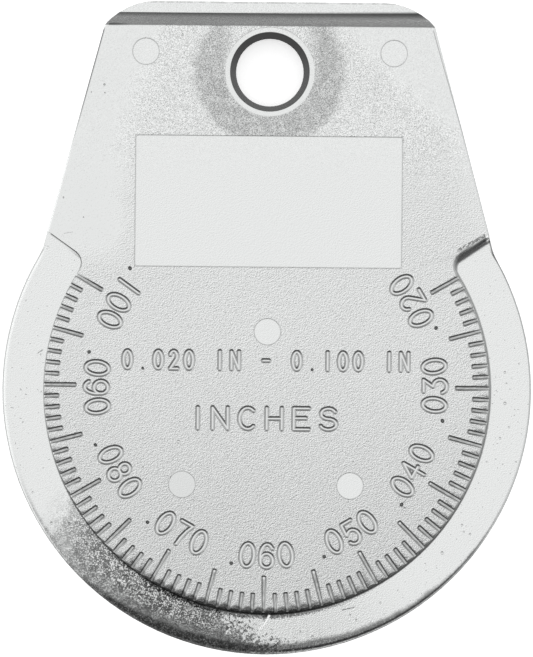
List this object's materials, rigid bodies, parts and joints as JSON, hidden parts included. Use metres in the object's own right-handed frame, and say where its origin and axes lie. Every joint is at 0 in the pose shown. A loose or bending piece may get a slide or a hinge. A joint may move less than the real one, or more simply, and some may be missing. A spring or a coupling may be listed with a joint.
{
  "type": "spark plug gap gauge",
  "caption": "Flat cast gap gauge: a disc with a graduated rim that thickens round its edge, and a tapered handle with a hanging hole and a thin tongue along its top.",
  "frame": {"origin": "centre of the disc on the flat back face, the millimetre side", "axes": "+X to the thin end of the rim, +Y up the handle to its hole and tongue, +Z out of the inch face"},
  "size_m": [0.047, 0.058, 0.0028],
  "materials": {
    "plated_zinc": "satin bright plating, grainy on the sunk die face and smooth on the rim"
  },
  "bodies": {
    "root": {"gauge_body": "plated_zinc"}
  },
  "joints": []
}
